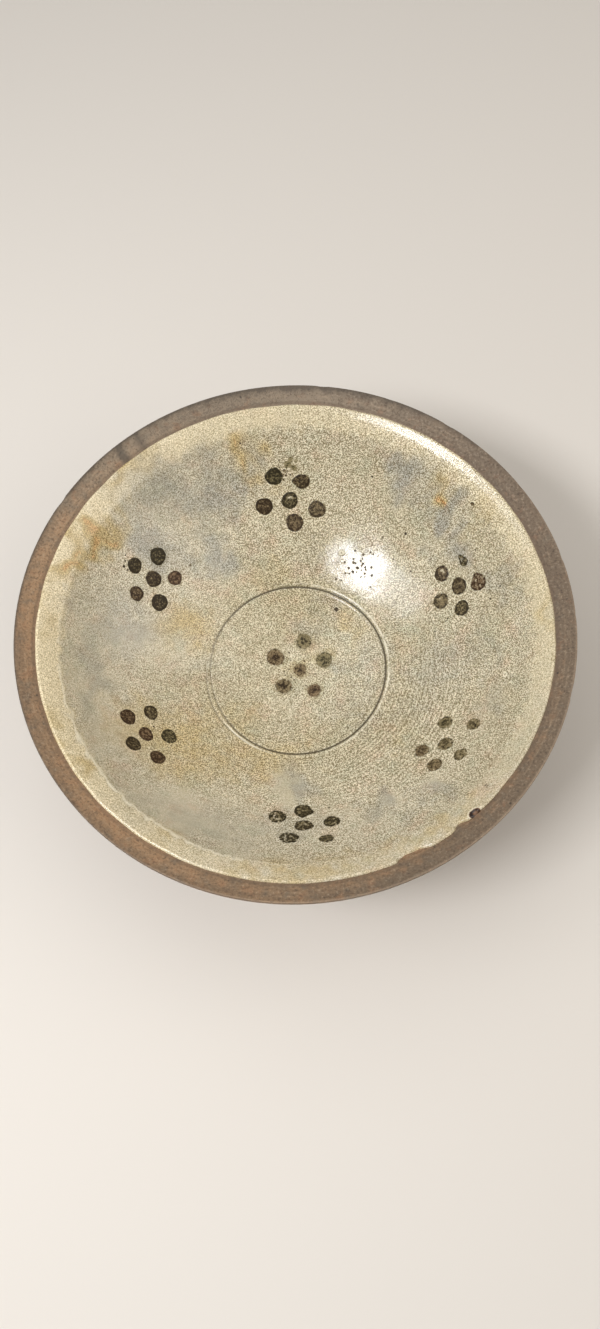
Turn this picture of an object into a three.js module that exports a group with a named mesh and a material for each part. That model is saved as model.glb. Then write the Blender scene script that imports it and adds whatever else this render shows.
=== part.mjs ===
// Iron-spotted stoneware dish: a thrown bowl with a bare clay rim, a glazed inside with one incised
// ring, and seven sprigs of brushed iron dabs. It stands on its foot ring, with the origin at the
// middle of the foot's underside and +Z up through the middle of the bowl.
// Lengths are in millimetres and angles in degrees.
import * as THREE from 'three';

// Driving dimensions of the clay.
const rimDiameter = 290;
const rimBandWidth = 10;
const rimBandDrop = 5.2;
const rimEdgeHeight = 6;
const rimEdgeRounding = 0.8;
const lipBandWidth = 9.5;
const lipBandDrop = 8.7;
const bowlDepth = 83.5;
const wallThickness = 9;
const floorThickness = 9;
const footDiameter = 96;
const footWall = 8;
const footRecess = 7.5;
const footDraft = 1.5;
const footChamfer = 1;

// Driving dimensions of the glaze coat and of the ring cut into it.
const glazeThickness = 1;
const fitGap = 0.3;
const incisedRingRadius = 52;
const incisedRingWidth = 1.2;
const incisedRingDepth = 0.5;

// Driving dimensions of the iron dabs. A sprig's azimuth is counted from +X, and its inset is how
// far its middle lies inside the lip's ridge. Each pair in dabs is one dab around the middle one:
// the angle from the sprig's outward direction, and the reach from the middle dab.
const dabThickness = 0.6;
const sprigs = [
  { name: 'far', azimuth: 90, inset: 29, dabRadius: 4.1,
    dabs: [[30, 17], [100, 15.5], [190, 13.5], [250, 17], [325, 13.5]] },
  { name: 'left_far', azimuth: 148.5, inset: 31, dabRadius: 3.7,
    dabs: [[5, 14], [75, 14], [140, 14], [220, 13.5], [295, 13.5]] },
  { name: 'left_near', azimuth: 208, inset: 31, dabRadius: 3.9,
    dabs: [[20, 12], [85, 15.5], [160, 14], [230, 15.5], [295, 13.5]] },
  { name: 'near', azimuth: 270, inset: 26.5, dabRadius: 4.2,
    dabs: [[40, 18], [95, 15], [180, 12.5], [240, 15.5], [325, 13.5]] },
  { name: 'right_near', azimuth: 323.5, inset: 28.5, dabRadius: 3.6,
    dabs: [[55, 18.5], [125, 14.5], [215, 14], [280, 14], [345, 14.5]] },
  { name: 'right_far', azimuth: 20, inset: 25.5, dabRadius: 3.8,
    dabs: [[45, 14], [115, 13.5], [185, 14], [250, 13], [335, 13]] },
];
const centreSprig = { name: 'centre', azimuth: 55, offset: 3, dabRadius: 3.4,
  dabs: [[25, 18], [95, 16.5], [170, 14], [245, 15.5], [325, 15.5]] };

// How finely the round surfaces are cut into flat facets.
const turnSteps = 60;
const bowlSteps = 14;
const wallSteps = 9;
const dabSteps = 12;

// Sizes that follow from the driving dimensions.
const rimRadius = rimDiameter / 2;
const bandInnerRadius = rimRadius - rimBandWidth;
const ridgeRadius = bandInnerRadius - lipBandWidth;
const ridgeDrop = rimBandDrop + lipBandDrop;
const overallHeight = bowlDepth + floorThickness + footRecess;
const bowlSag = bowlDepth - ridgeDrop;
const clayRadius = (ridgeRadius ** 2 + bowlSag ** 2) / (2 * bowlSag);
const bowlCentreHeight = overallHeight - bowlDepth + clayRadius;
const glazeOuterRadius = clayRadius - fitGap;
const glazeRadius = glazeOuterRadius - glazeThickness;
const ridgeAngle = Math.asin(ridgeRadius / clayRadius);

const materials = {
  clay: new THREE.MeshStandardMaterial({ color: 0x82694f, roughness: 0.8, metalness: 0 }),
  glaze: new THREE.MeshStandardMaterial({ color: 0xc3b795, roughness: 0.28, metalness: 0 }),
  iron: new THREE.MeshStandardMaterial({ color: 0x46382a, roughness: 0.35, metalness: 0 }),
};

function turnedMesh(name, outline, steps, material) {
  const geometry = new THREE.LatheGeometry(outline, steps);
  geometry.rotateX(Math.PI / 2);
  const mesh = new THREE.Mesh(geometry, material);
  mesh.name = name;
  return mesh;
}

// A point on a sphere about the bowl's centre of curvature, at an angle from straight down.
function bowlPoint(radius, angle) {
  return new THREE.Vector2(radius * Math.sin(angle), bowlCentreHeight - radius * Math.cos(angle));
}

// Points along such a sphere from one angle to another, both ends included.
function bowlArc(radius, fromAngle, toAngle, steps) {
  const points = [];
  for (let i = 0; i <= steps; i += 1) {
    points.push(bowlPoint(radius, fromAngle + (toAngle - fromAngle) * i / steps));
  }
  return points;
}

// The lip band is straight in section, so a coat on it is the same line moved along its normal.
const bandInnerPoint = new THREE.Vector2(bandInnerRadius, overallHeight - rimBandDrop);
const ridgePoint = new THREE.Vector2(ridgeRadius, overallHeight - ridgeDrop);
const lipDirection = bandInnerPoint.clone().sub(ridgePoint).normalize();
const lipNormal = new THREE.Vector2(-lipDirection.y, lipDirection.x);

// The angle at which the lip's line, raised above the clay, meets the bowl's sphere raised by as much.
function raisedRidgeAngle(rise) {
  const lipSlope = Math.atan2(lipBandDrop, lipBandWidth);
  const lipDistance = clayRadius * Math.cos(ridgeAngle - lipSlope) - rise;
  return lipSlope + Math.sign(ridgeAngle - lipSlope) * Math.acos(lipDistance / (clayRadius - rise));
}

function stonewareBody() {
  const footRadius = footDiameter / 2;
  const footInnerRadius = footRadius - footWall;
  const wallRadius = clayRadius + wallThickness;
  const footTopAngle = Math.asin((footRadius + footDraft) / wallRadius);
  const rimEdgeFoot = overallHeight - rimEdgeHeight;
  const wallTopHeight = rimEdgeFoot - rimEdgeHeight / 2;
  const wallTopAngle = Math.acos((bowlCentreHeight - wallTopHeight) / wallRadius);
  const outline = [
    ...bowlArc(clayRadius, 0, ridgeAngle, bowlSteps),
    bandInnerPoint,
    new THREE.Vector2(rimRadius - rimEdgeRounding, overallHeight),
    new THREE.Vector2(rimRadius, overallHeight - rimEdgeRounding),
    new THREE.Vector2(rimRadius, rimEdgeFoot + rimEdgeRounding),
    new THREE.Vector2(rimRadius - rimEdgeRounding, rimEdgeFoot),
    ...bowlArc(wallRadius, wallTopAngle, footTopAngle, wallSteps),
    new THREE.Vector2(footRadius, footChamfer),
    new THREE.Vector2(footRadius - footChamfer, 0),
    new THREE.Vector2(footInnerRadius + footChamfer, 0),
    new THREE.Vector2(footInnerRadius, footChamfer),
    new THREE.Vector2(footInnerRadius - footDraft, footRecess),
    new THREE.Vector2(0, footRecess),
  ];
  return turnedMesh('stoneware_body', outline.reverse(), turnSteps, materials.clay);
}

function interiorGlaze() {
  const topAngle = raisedRidgeAngle(fitGap + glazeThickness);
  const undersideAngle = raisedRidgeAngle(fitGap);
  const ringInner = Math.asin((incisedRingRadius - incisedRingWidth / 2) / glazeRadius);
  const ringMiddle = Math.asin(incisedRingRadius / glazeRadius);
  const ringOuter = Math.asin((incisedRingRadius + incisedRingWidth / 2) / glazeRadius);
  const innerSteps = Math.max(2, Math.round(bowlSteps * ringMiddle / topAngle));
  const outline = [
    ...bowlArc(glazeOuterRadius, 0, undersideAngle, bowlSteps),
    bandInnerPoint.clone().addScaledVector(lipNormal, fitGap),
    bandInnerPoint.clone().addScaledVector(lipNormal, fitGap + glazeThickness),
    ...bowlArc(glazeRadius, topAngle, ringOuter, bowlSteps - innerSteps),
    bowlPoint(glazeRadius + incisedRingDepth, ringMiddle),
    ...bowlArc(glazeRadius, ringInner, 0, innerSteps),
  ];
  return turnedMesh('interior_glaze', outline, turnSteps, materials.glaze);
}

// One dab: a flat-based, softly domed disc that lies on the glaze and faces the bowl's centre of
// curvature. Its base clears the facets of the glaze, which rise a little above the true sphere.
function ironDab(name, azimuth, angle, radius) {
  const outline = [
    new THREE.Vector2(0, 0),
    new THREE.Vector2(radius, 0),
    new THREE.Vector2(radius * 0.92, dabThickness * 0.6),
    new THREE.Vector2(radius * 0.55, dabThickness),
    new THREE.Vector2(0, dabThickness),
  ];
  const mesh = turnedMesh(name, outline, dabSteps, materials.iron);
  const facetRise = glazeRadius * (2 - Math.cos(ridgeAngle / bowlSteps / 2) - Math.cos(Math.PI / turnSteps));
  const outward = bowlPoint(glazeRadius - fitGap - facetRise, angle);
  mesh.position.set(outward.x * Math.cos(azimuth), outward.x * Math.sin(azimuth), outward.y);
  mesh.rotation.set(0, -angle, azimuth, 'ZYX');
  return mesh;
}

// A sprig is drawn on the sphere: its middle dab sits at an angle from straight down, and the
// other dabs are reached from it by an arc along the surface.
function ironSprig({ name, azimuth, dabRadius, dabs }, middleRadius) {
  const group = new THREE.Group();
  const middleAngle = Math.asin(middleRadius / glazeRadius);
  const middleAzimuth = THREE.MathUtils.degToRad(azimuth);
  group.add(ironDab(`iron_dab_${name}_middle`, middleAzimuth, middleAngle, dabRadius));
  dabs.forEach(([turn, reach], index) => {
    const heading = THREE.MathUtils.degToRad(turn);
    const arc = reach / glazeRadius;
    const angle = Math.acos(Math.cos(middleAngle) * Math.cos(arc)
      - Math.sin(middleAngle) * Math.sin(arc) * Math.cos(heading));
    const swing = Math.atan2(Math.sin(heading) * Math.sin(arc) * Math.sin(middleAngle),
      Math.cos(arc) - Math.cos(middleAngle) * Math.cos(angle));
    group.add(ironDab(`iron_dab_${name}_${index + 1}`, middleAzimuth + swing, angle, dabRadius));
  });
  return group;
}

const dish = new THREE.Group();
dish.add(stonewareBody());
dish.add(interiorGlaze());
dish.add(ironSprig(centreSprig, centreSprig.offset));
for (const sprig of sprigs) {
  dish.add(ironSprig(sprig, ridgeRadius - sprig.inset));
}

export default dish;
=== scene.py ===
import math

import bpy
import numpy as np
from mathutils import Matrix, Quaternion, Vector


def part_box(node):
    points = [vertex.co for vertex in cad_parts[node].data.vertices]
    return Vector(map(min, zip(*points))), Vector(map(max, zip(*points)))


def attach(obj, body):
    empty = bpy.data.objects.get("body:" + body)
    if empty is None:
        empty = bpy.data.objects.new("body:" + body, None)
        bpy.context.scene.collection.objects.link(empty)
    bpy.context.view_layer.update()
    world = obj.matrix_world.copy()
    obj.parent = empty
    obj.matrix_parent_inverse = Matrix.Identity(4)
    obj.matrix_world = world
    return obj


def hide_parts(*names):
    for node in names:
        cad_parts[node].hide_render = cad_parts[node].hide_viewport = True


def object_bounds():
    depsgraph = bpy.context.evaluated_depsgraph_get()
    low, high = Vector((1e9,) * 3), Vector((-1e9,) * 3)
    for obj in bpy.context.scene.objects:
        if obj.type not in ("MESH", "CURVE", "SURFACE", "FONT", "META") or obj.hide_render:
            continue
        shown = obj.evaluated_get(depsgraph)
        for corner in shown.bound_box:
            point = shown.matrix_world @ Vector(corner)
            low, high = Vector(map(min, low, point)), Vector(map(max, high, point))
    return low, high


# Iron-spotted stoneware dish: a thrown bowl with a bare clay rim, a crackled ash glaze inside with
# one incised ring, and seven sprigs of brushed iron dabs. Shapes are worked out in millimetres,
# with +Z up and the origin under the middle of the foot, and become metres in closed_turns().
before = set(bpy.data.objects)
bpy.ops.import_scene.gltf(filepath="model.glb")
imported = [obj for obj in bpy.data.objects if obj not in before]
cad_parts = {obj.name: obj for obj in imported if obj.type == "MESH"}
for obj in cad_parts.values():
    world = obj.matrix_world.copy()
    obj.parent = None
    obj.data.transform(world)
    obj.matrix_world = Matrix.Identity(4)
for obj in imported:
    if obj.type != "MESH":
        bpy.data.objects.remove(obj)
cad_low, cad_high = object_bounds()

MM = 0.001
TURN = 2 * math.pi
RIM_RADIUS = cad_high.x / MM
RIM_HEIGHT = cad_high.z / MM

# The clay, as the frame has it.
RIM_BAND_WIDTH = 10.0
RIM_BAND_DROP = 5.2
RIM_EDGE_HEIGHT = 6.0
LIP_BAND_WIDTH = 9.5
LIP_BAND_DROP = 8.7
BOWL_DEPTH = 83.5
WALL_THICKNESS = 9.0
FOOT_RADIUS = 48.0
FOOT_WALL = 8.0
FOOT_RECESS = 7.5
FOOT_DRAFT = 1.5

# The glaze coat. It lies GLAZE_LIFT above the clay, and its edge and underside reach just into it.
GLAZE_LIFT = 1.3
GLAZE_SINK = 0.1
RING_RADIUS = 52.0
RING_WIDTH = 1.15
RING_DEPTH = 0.5

BAND_INNER = RIM_RADIUS - RIM_BAND_WIDTH
RIDGE_RADIUS = BAND_INNER - LIP_BAND_WIDTH
LIP_TOP_HEIGHT = RIM_HEIGHT - RIM_BAND_DROP
RIDGE_HEIGHT = LIP_TOP_HEIGHT - LIP_BAND_DROP
FLOOR_HEIGHT = RIM_HEIGHT - BOWL_DEPTH
BOWL_SAG = RIDGE_HEIGHT - FLOOR_HEIGHT
CLAY_RADIUS = (RIDGE_RADIUS**2 + BOWL_SAG**2) / (2 * BOWL_SAG)
CENTRE_HEIGHT = FLOOR_HEIGHT + CLAY_RADIUS
GLAZE_RADIUS = CLAY_RADIUS - GLAZE_LIFT
WALL_RADIUS = CLAY_RADIUS + WALL_THICKNESS
LIP_SLOPE = math.atan2(LIP_BAND_DROP, LIP_BAND_WIDTH)


# -------------------- mesh helpers


def new_object(name, data):
    """An object in the scene, at the origin."""
    made = bpy.data.objects.new(name, data)
    bpy.context.scene.collection.objects.link(made)
    return made


def closed_turns(name, grids, values):
    """A mesh of closed surfaces from points in millimetres, each on a rows x columns grid. Columns
    run round and join up. The first row is one pole and the last row the other, each a single
    point, and the rows between are joined by quads. Each grid's values are numbers at its points,
    by name, and become the attributes that materials read."""
    points, faces, first = [], [], 0
    for grid in grids:
        rows, columns = grid.shape[:2]
        points.append(poles_and_rows(grid))
        ring = np.arange(columns)
        after = (ring + 1) % columns
        start = first + 1 + columns * np.arange(rows - 3)[:, None]
        below = start + columns
        quads = np.stack([start + ring, below + ring, below + after, start + after], -1)
        last = first + len(points[-1]) - 1
        top = np.stack([np.full_like(ring, first), first + 1 + ring, first + 1 + after], -1)
        bottom = np.stack([last - columns + ring, np.full_like(ring, last), last - columns + after], -1)
        faces += quads.reshape(-1, 4).tolist() + top.tolist() + bottom.tolist()
        first = last + 1
    mesh = bpy.data.meshes.new(name)
    mesh.from_pydata((np.concatenate(points) * MM).tolist(), [], faces)
    mesh.shade_smooth()
    for key in values[0]:
        kept = np.concatenate([poles_and_rows(value[key]) for value in values]).astype(np.float32)
        mesh.attributes.new(key, "FLOAT", "POINT").data.foreach_set("value", kept)
    return new_object(name, mesh)


def poles_and_rows(grid):
    """A grid's points or values in vertex order: one pole, the rows between, the other pole."""
    middle = grid[1:-1].reshape(-1, *grid.shape[2:])
    return np.concatenate([grid[:1, 0], middle, grid[-1:, 0]])


def path_length(path):
    """How far along a path each of its points is."""
    return np.concatenate([[0], np.cumsum(np.linalg.norm(np.diff(path, axis=0), axis=1))])


def softened(corners, cuts, spacing):
    """A path through corner points. Each inner corner is cut back by its cut and bridged by the
    parabola (1-t)^2 start + 2t(1-t) corner + t^2 end, and the path is then evenly spaced."""
    corners = np.array(corners, float)
    path = [corners[:1]]
    t = np.linspace(0, 1, 12)[:, None]
    for before, corner, after, cut in zip(corners, corners[1:], corners[2:], cuts):
        start = corner + (before - corner) * cut / np.linalg.norm(before - corner)
        end = corner + (after - corner) * cut / np.linalg.norm(after - corner)
        path.append((1 - t) ** 2 * start + 2 * t * (1 - t) * corner + t**2 * end)
    path = np.concatenate(path + [corners[-1:]])
    length = path_length(path)
    steps = np.linspace(0, length[-1], max(3, int(length[-1] / spacing)))
    return np.stack([np.interp(steps, length, path[:, k]) for k in (0, 1)], -1)


def bowl_arc(radius, from_angle, to_angle, steps):
    """Points (distance from the axis, height) on a sphere about the bowl's centre of curvature:
    (R sin a, centre - R cos a), with a counted from straight down."""
    angle = np.linspace(from_angle, to_angle, steps)
    return np.stack([radius * np.sin(angle), CENTRE_HEIGHT - radius * np.cos(angle)], -1)


def section_normals(outline):
    """Unit normals of an outline that runs out from the axis, pointing to the left of its course."""
    run = np.gradient(outline, axis=0)
    run /= np.linalg.norm(run, axis=1, keepdims=True)
    return np.stack([-run[:, 1], run[:, 0]], -1)


def drift(theta, along, seed, waves=7, turns=4, pitch=60.0):
    """A smooth random field of about unit size: a sum of cosine waves, each with a whole number of
    cycles round the axis, a random slant along the surface and a random phase."""
    rng = np.random.default_rng(seed)
    total = 0.0
    for _ in range(waves):
        around = rng.integers(1, turns + 1)
        slant = rng.normal(0, TURN / pitch)
        total += np.cos(around * theta + slant * along + rng.uniform(0, TURN))
    return total * math.sqrt(2 / waves)


def ripple(x, y, seed, pitch, waves=9):
    """A smooth random field of about unit size over the plane: a sum of cosine waves of random
    heading and phase, with wavelengths round about the pitch."""
    rng = np.random.default_rng(seed)
    total = 0.0
    for _ in range(waves):
        heading = rng.uniform(0, TURN)
        rate = TURN / (pitch * rng.uniform(0.7, 1.5))
        run = x * math.cos(heading) + y * math.sin(heading)
        total += np.cos(rate * run + rng.uniform(0, 6.3))
    return total * math.sqrt(2 / waves)


def bump_at(value, middle, width):
    """A bell curve: 1 at the middle, falling to 1/e at the width."""
    return np.exp(-(((value - middle) / width) ** 2))


def step_between(low, high, value):
    """0 on the low side and 1 on the high side, with the smooth step 3t^2 - 2t^3 between."""
    t = np.clip((value - low) / (high - low), 0, 1)
    return t * t * (3 - 2 * t)


def turn_from(theta, azimuth):
    """Signed angle in degrees from an azimuth, between -180 and 180."""
    return (np.degrees(theta) - azimuth + 180) % 360 - 180


def towards(theta, azimuth, width):
    """How far a direction is towards an azimuth: a bell curve with its width in degrees."""
    return bump_at(turn_from(theta, azimuth), 0, width)


def ellipse_distance(away_x, away_y, half_length, half_width, degrees):
    """Distance from the middle of a turned ellipse, in its own half-lengths and half-widths."""
    turn = math.radians(degrees)
    along = away_x * math.cos(turn) + away_y * math.sin(turn)
    across = away_y * math.cos(turn) - away_x * math.sin(turn)
    return np.hypot(along / half_length, across / half_width)


# -------------------- the glaze's surface

# Where the glaze's edge stands back from the rim band: azimuth in degrees, millimetres along the lip.
EDGE_SETBACK = [
    (-180, 0.0), (-71.6, 0.0), (-71.0, 0.4), (-70.4, 2.0), (-69.5, 2.9), (-68.6, 3.7), (-67.5, 3.5),
    (-65.3, 3.1), (-63.7, 1.2), (-62.6, 0.0), (-58.4, 0.1), (-57.2, 1.0), (-56.3, 2.8), (-55.5, 2.9),
    (-54.6, 2.2), (-53.6, 0.2), (-52.6, 0.0), (180, 0.0),
]
EDGE_WIDTH = 0.8
CHIPS_AZIMUTH = -61

# The glaze's bead: its height, how far inside the edge it is, its width, and its height on the ridge.
BEAD_HEIGHT = 0.2
BEAD_INSET = 5.6
BEAD_WIDTH = 4.2
RIDGE_BEAD_HEIGHT = 0.12

# Where the lip rolls over towards the rim, how far inside the edge, and how steeply.
ROLLED_SIDE = (48, 38)
ROLL_INSET = 5.5
ROLL_SLOPE = 0.115

# A burst blister: its place, and its half-length, half-width and turn in degrees.
PIT_PLACE = (83.0, -105.0)
PIT_SHAPE = (2.9, 1.8, 35)

# Sides are azimuths and widths in degrees: where the turning lines show, where glaze fills the ring,
# and where the ring is cut twice. The second cut lies this far out.
TURNED_SIDE = (-42, 48)
TURNING_PITCH = 2.3
TURNING_HEIGHT = 0.017
FILLED_SIDE = (182, 48)
DOUBLED_SIDE = (205, 36)
SECOND_CUT_AWAY = 3.2
SECOND_CUT_WIDTH = 0.45


def groove_radius(theta):
    """Radius of the incised ring: a circle, a little off centre and out of round."""
    off_centre = 0.67 * np.cos(theta - 0.75)
    out_of_round = 0.49 * np.cos(2 * theta - 2.81) + 0.29 * np.cos(3 * theta - 0.75)
    return RING_RADIUS - 0.37 + off_centre + out_of_round


def surface_relief(x, y):
    """Height of the glaze above its true sphere or cone: slow swells from the thrower's hand and the
    pull of the melt, fine turning lines on the near right, and the incised ring, a bell-shaped
    groove between two low lips, with a second, fainter groove outside it on the near left."""
    radius = np.hypot(x, y)
    theta = np.arctan2(y, x)
    relief = 0.10 * ripple(x, y, 3, 70) + 0.045 * ripple(x, y, 4, 17)
    wander = radius + 0.35 * drift(theta, 0, 11, turns=5)
    strength = TURNING_HEIGHT * turning_strength(x, y) * (0.7 + 0.3 * ripple(x, y, 12, 9))
    relief += strength * np.sin(TURN * wander / TURNING_PITCH)
    groove = groove_radius(theta)
    doubled = towards(theta, *DOUBLED_SIDE)
    depth = RING_DEPTH * (1 - 0.5 * towards(theta, *FILLED_SIDE))
    relief -= depth * bump_at(radius, groove, RING_WIDTH / 2)
    relief += 0.08 * bump_at(radius, groove - 1.3, 0.6)
    relief += 0.11 * bump_at(radius, groove + 1.6, 0.8)
    second_cut = bump_at(radius, groove + SECOND_CUT_AWAY * doubled, SECOND_CUT_WIDTH)
    relief -= 0.3 * doubled * second_cut
    return relief * (1 - 0.65 * step_between(117, 124, radius))


def pit_distance(x, y):
    """Distance from the middle of the burst blister, in its own half-widths: 1 at the pit's lip."""
    return ellipse_distance(x - PIT_PLACE[0], y - PIT_PLACE[1], *PIT_SHAPE)


def pit_relief(x, y):
    """A burst blister at the glaze's edge: a pit with a small raised rim."""
    away = pit_distance(x, y)
    return -1.1 * bump_at(away, 0, 0.75) + 0.3 * bump_at(away, 1.25, 0.3)


def glaze_section():
    """The glaze's upper surface in section, from the axis to its edge at the rim band: the sphere,
    then the lip's straight line raised by the coat, with a soft turn at the ridge between them."""
    lip_normal = np.array([-math.sin(LIP_SLOPE), math.cos(LIP_SLOPE)])
    edge = np.array([BAND_INNER, LIP_TOP_HEIGHT]) + GLAZE_LIFT * lip_normal
    lip_distance = np.dot(edge - [0, CENTRE_HEIGHT], lip_normal)
    ridge_angle = LIP_SLOPE + math.acos(-lip_distance / GLAZE_RADIUS)
    bowl = bowl_arc(GLAZE_RADIUS, 0, ridge_angle, 1200)
    ridge = bowl[-1]
    bowl = bowl[:-29]
    lip = ridge + (edge - ridge) * np.linspace(0.35, 1, 200)[:, None]
    turn = softened([bowl[-1], ridge, lip[0]], [3.2], 0.1)
    return np.concatenate([bowl[:-1], turn, lip[1:]])


def glaze_grid():
    """The glaze coat as a grid round the axis. Rows run out along the section to the edge, turn
    down over it in a quarter round, and come back underneath. Columns crowd at the chipped stretch
    of the edge: theta = phi - 0.6 sin(phi - chips). The top is raised by the relief and by a bead
    inside the edge and on the ridge, thins at the chips, and on the far right rolls over towards
    the rim: the fall past the turn is (p + sqrt(p^2 + 0.6^2)) / 2 for a distance p past it."""
    columns = 640
    phi = np.linspace(0, TURN, columns, endpoint=False)
    theta = phi - 0.6 * np.sin(phi - math.radians(CHIPS_AZIMUTH))
    section = glaze_section()
    length = path_length(section)
    normals = section_normals(section)
    ridge = np.interp(RIDGE_RADIUS - 1.2, section[:, 0], length)
    ring = np.interp(RING_RADIUS, section[:, 0], length)
    bowl = np.concatenate([
        np.linspace(0, ring - 3, 26)[:-1],
        np.linspace(ring - 3, ring + 3.4, 27)[:-1],
        np.linspace(ring + 3.4, ridge - 3, 46)[:-1],
        np.linspace(ridge - 3, ridge + 3, 16),
    ])

    azimuth, setback = np.transpose(EDGE_SETBACK)
    edge = length[-1] - np.interp(turn_from(theta, 0), azimuth, setback)
    edge = edge - 0.10 - 0.09 * drift(theta, 0, 21, waves=14, turns=40)
    lip = bowl[-1] + (edge - EDGE_WIDTH - bowl[-1]) * np.linspace(0, 1, 20)[1:, None]
    quarter = np.linspace(0, math.pi / 2, 9)[1:, None]
    down = edge - EDGE_WIDTH * (1 - np.sin(quarter))
    back = edge * np.linspace(1, 0, 10)[1:, None]
    along = np.concatenate([np.outer(bowl, np.ones(columns)), lip, down, back])
    top = len(bowl) + len(lip)
    thickness = GLAZE_LIFT + GLAZE_SINK
    drop = np.full_like(along, -thickness)
    drop[:top] = 0
    drop[top:top + len(down)] = -thickness * (1 - np.cos(quarter))

    radius = np.interp(along, length, section[:, 0])
    height = np.interp(along, length, section[:, 1])
    out = np.interp(along, length, normals[:, 0])
    up = np.interp(along, length, normals[:, 1])
    x = radius * np.cos(theta)
    y = radius * np.sin(theta)
    rolled = towards(theta, *ROLLED_SIDE)
    past_turn = along - edge + ROLL_INSET * rolled
    rise = surface_relief(x, y) + pit_relief(x, y)
    rise += BEAD_HEIGHT * bump_at(along, edge - BEAD_INSET, BEAD_WIDTH)
    rise += RIDGE_BEAD_HEIGHT * bump_at(along, ridge, 1.3)
    rise -= ROLL_SLOPE * rolled * (past_turn + np.hypot(past_turn, 0.6)) / 2
    chipped = step_between(0.3, 1.5, length[-1] - edge)
    rise -= 0.35 * chipped * bump_at(along, edge, 2.0)
    rise = rise * (drop > -thickness) + drop
    radius = radius + out * rise
    return np.stack([radius * np.cos(theta), radius * np.sin(theta), height + up * rise], -1)


# -------------------- stains in the glaze

# Patches of grey-green ash, of ochre iron, and of smoother glaze where the ash lay thick and melted
# out: place x, y; half-length, half-width; turn in degrees; strength.
ASH = [
    (-60, 93, 40, 14, 12, 0.7), (-46, 96, 16, 9, 10, 0.9), (-30, 92, 10, 8, 0, 0.4),
    (-33, 103, 14, 8, 20, 0.75), (-85, 78, 18, 12, 45, 0.5), (-44, 68, 11, 8, -38, 0.9),
    (-60, 62, 14, 12, 0, 0.65), (2, 60, 12, 10, 0, 0.3), (-52, 80, 12, 8, 20, 0.5),
    (-18, 114, 8, 4, 0, 0.7), (66, 94, 15, 7, -25, 0.95), (73, 84, 9, 7, 0, 0.5),
    (87, 67, 9, 6, -40, 0.95), (96, 50, 14, 7, -55, 0.95), (114, 24, 12, 6, -65, 0.5),
    (-108, -12, 9, 42, 5, 0.6), (-98, -58, 12, 26, 32, 0.32), (-50, -102, 46, 15, -15, 0.4),
    (-5, -108, 30, 10, 5, 0.4), (0, -74, 8, 12, 15, 0.75), (45, -85, 9, 7, 20, 0.72),
    (70, -83, 9, 7, 20, 0.65), (52, -100, 12, 4, 25, 0.4), (-92, 15, 22, 17, 10, 0.6),
    (108, -5, 7, 26, -8, 0.4), (104, -42, 8, 14, -25, 0.45), (94, 79, 3.5, 3, 20, 1.0),
    (40, 4, 10, 30, -20, 0.35), (-50, 4, 22, 10, 0, 0.3), (25, 66, 34, 10, -8, 0.3),
    (8, 26, 14, 10, 0, 0.4), (16, 8, 9, 7, 0, 0.5), (76, -8, 26, 22, 0, 0.45),
    (30, -24, 16, 22, 30, 0.35), (60, -32, 22, 12, 30, 0.35), (25, 40, 16, 8, -30, 0.4),
    (-33, 66, 30, 12, -25, 0.35), (104, 88, 10, 5, -45, 0.4), (-88, 66, 14, 10, 0, 0.85),
    (92, 2, 13, 15, 0, 0.3), (-88, 26, 14, 14, 0, 0.5), (96, 66, 8, 10, -30, 0.35),
]
OCHRE = [
    (-62, -48, 42, 24, -12, 0.75), (-22, -64, 26, 14, -12, 0.6), (-90, -34, 14, 14, 0, 0.55),
    (-30, 119, 8, 5, 0, 1.3), (-111, 67, 4.5, 17, -33, 1.4), (-120, 42, 4.5, 17, -19, 1.4),
    (-93, 93, 17, 5.5, 45, 1.05), (-127, 10, 5, 20, 0, 0.45), (88, 77, 5.5, 5, -30, 1.7),
    (84, 88, 10, 6, -45, 0.55), (-62, 30, 16, 14, 0, 0.8), (-57, 25, 6, 8, 0, 0.5),
    (105, 66, 7, 12, -35, 0.4), (128, 0, 4, 26, 0, 0.45), (30, 26, 10, 14, 30, 0.6),
    (2, 3, 15, 8, 30, 0.5), (-107, -70, 4, 12, 34, 0.85), (-119, -60, 4, 14, 28, 0.6),
    (-66, -112, 14, 6, -35, 0.5), (42, -116, 26, 5, 18, 0.4), (-8, 100, 8, 6, 0, 0.35),
    (-40, -25, 16, 14, 0, 0.4), (-92, -66, 7, 6, 0, 0.25), (60, -38, 20, 12, 30, 0.3),
    (-10, 62, 18, 9, 0, 0.3), (4, -130, 44, 8, 4, 0.62), (62, -112, 44, 7, 32, 0.5),
]
SMOOTH = [
    (-60, -98, 52, 23, -18, 1.05), (-104, -40, 17, 50, 18, 0.8), (-112, 5, 12, 30, 0, 0.6),
    (45, -85, 10, 8, 20, 1.0), (70, -83, 10, 8, 20, 1.0), (0, -74, 9, 12, 15, 1.0),
    (28, -97, 40, 18, 8, 0.75), (-60, 85, 40, 20, 12, 0.4), (62, 92, 26, 13, -35, 0.6),
    (86, 64, 11, 7, -60, 0.7), (-45, 70, 14, 10, -30, 0.5), (95, 42, 14, 8, -70, 0.5),
    (104, -38, 9, 20, -20, 0.8), (-92, 15, 24, 17, 10, 0.85), (48, 47, 30, 14, -38, 0.55),
    (70, 22, 12, 10, 0, 0.4),
]


def rippled(x, y, seed):
    """Points moved a few millimetres by random ripples of two sizes."""
    moved_x = x + 3.2 * ripple(x, y, seed, 26) + 1.5 * ripple(x, y, seed + 1, 9)
    moved_y = y + 3.2 * ripple(x, y, seed + 2, 26) + 1.5 * ripple(x, y, seed + 3, 9)
    return moved_x, moved_y


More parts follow.
